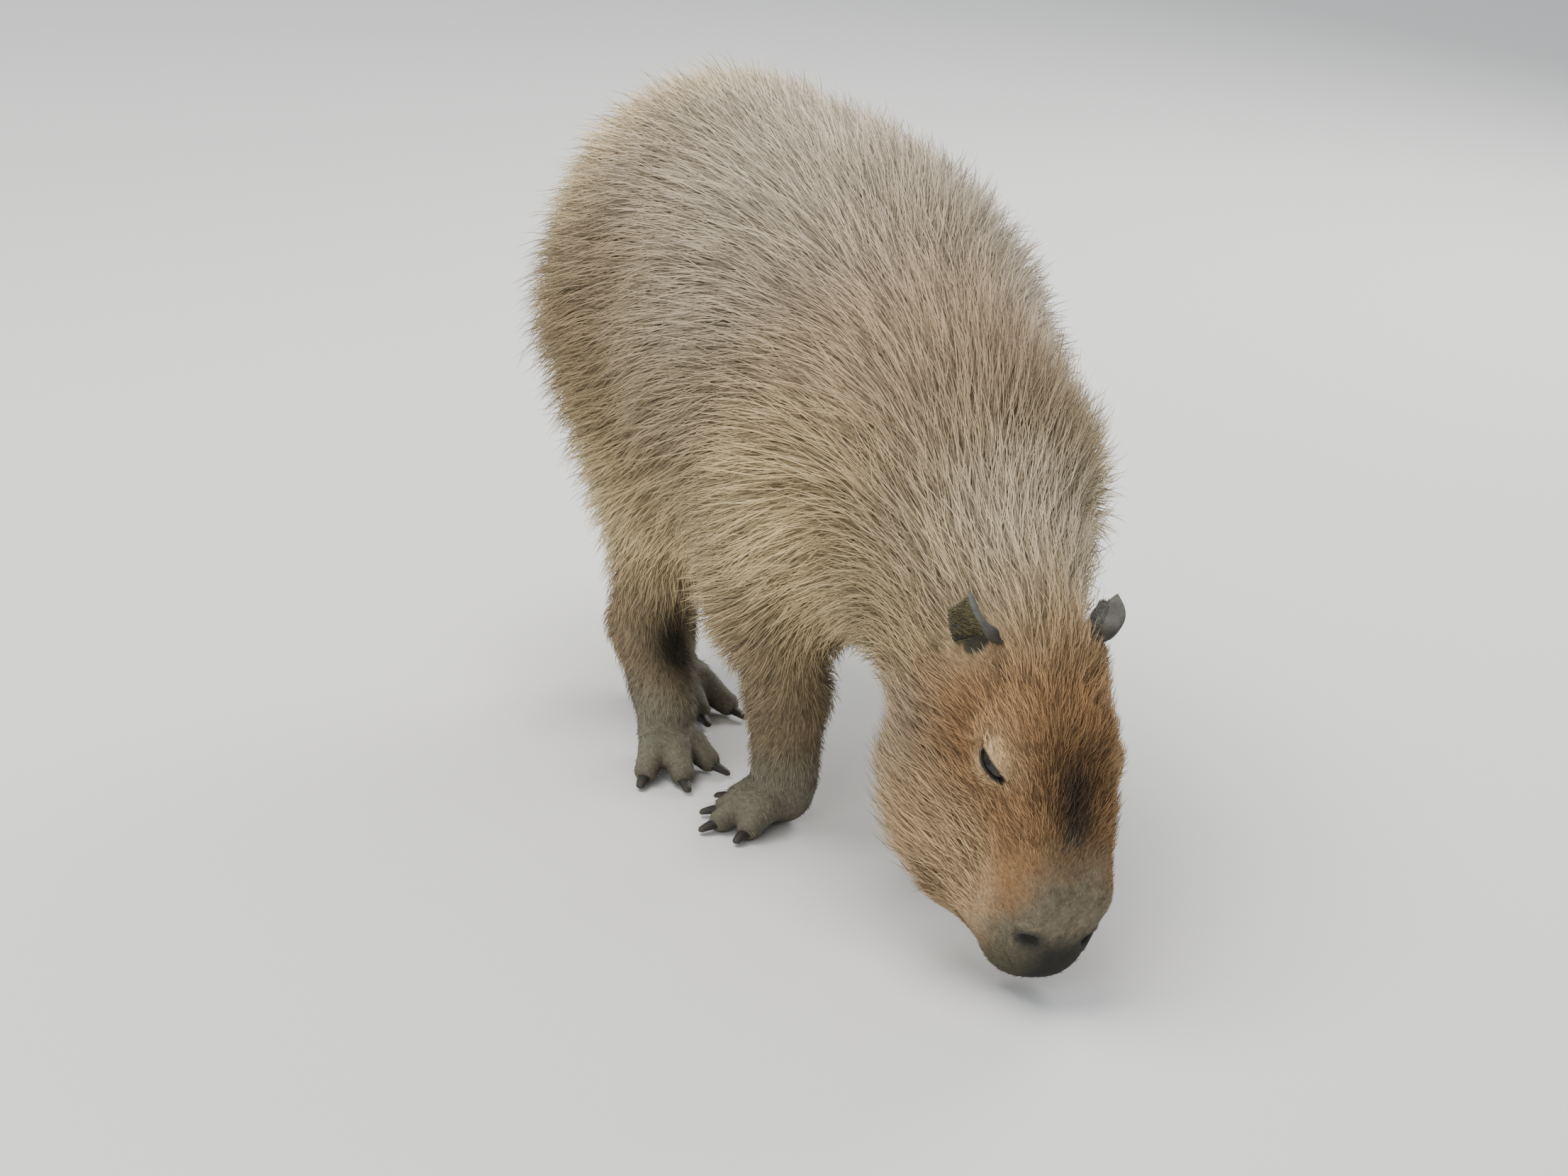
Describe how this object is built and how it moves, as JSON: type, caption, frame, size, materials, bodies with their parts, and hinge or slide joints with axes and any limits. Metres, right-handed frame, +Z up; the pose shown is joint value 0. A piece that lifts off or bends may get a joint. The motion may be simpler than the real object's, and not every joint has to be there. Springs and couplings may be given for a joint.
{
  "type": "capybara model",
  "caption": "Life-size still model of an adult capybara with a bristly coat, standing with its head lowered to graze.",
  "frame": {"origin": "centre of the bounding box at floor level, under the soles", "axes": "the animal faces -Y, its left side is +X, and +Z is up"},
  "size_m": [0.3934, 0.8998, 0.57],
  "materials": {
    "coat": "long coarse hair, straw tips over grey-brown",
    "head": "short coarse hair, rusty brown",
    "ear": "nearly bare dark grey skin",
    "eye": "wet dark brown",
    "foot": "grey skin under thin hair",
    "claw": "dark horn"
  },
  "bodies": {
    "root": {"head": "head", "neck": "coat", "torso": "coat", "ear_left": "ear", "ear_right": "ear", "eye_left": "eye", "eye_right": "eye", "foreleg_left": "coat", "forefoot_left": "foot", "claw_fore_left_1": "claw", "claw_fore_left_2": "claw", "claw_fore_left_3": "claw", "claw_fore_left_4": "claw", "foreleg_right": "coat", "forefoot_right": "foot", "claw_fore_right_1": "claw", "claw_fore_right_2": "claw", "claw_fore_right_3": "claw", "claw_fore_right_4": "claw", "hindleg_left": "coat", "hindfoot_left": "foot", "claw_hind_left_1": "claw", "claw_hind_left_2": "claw", "claw_hind_left_3": "claw", "hindleg_right": "coat", "hindfoot_right": "foot", "claw_hind_right_1": "claw", "claw_hind_right_2": "claw", "claw_hind_right_3": "claw"}
  },
  "joints": []
}
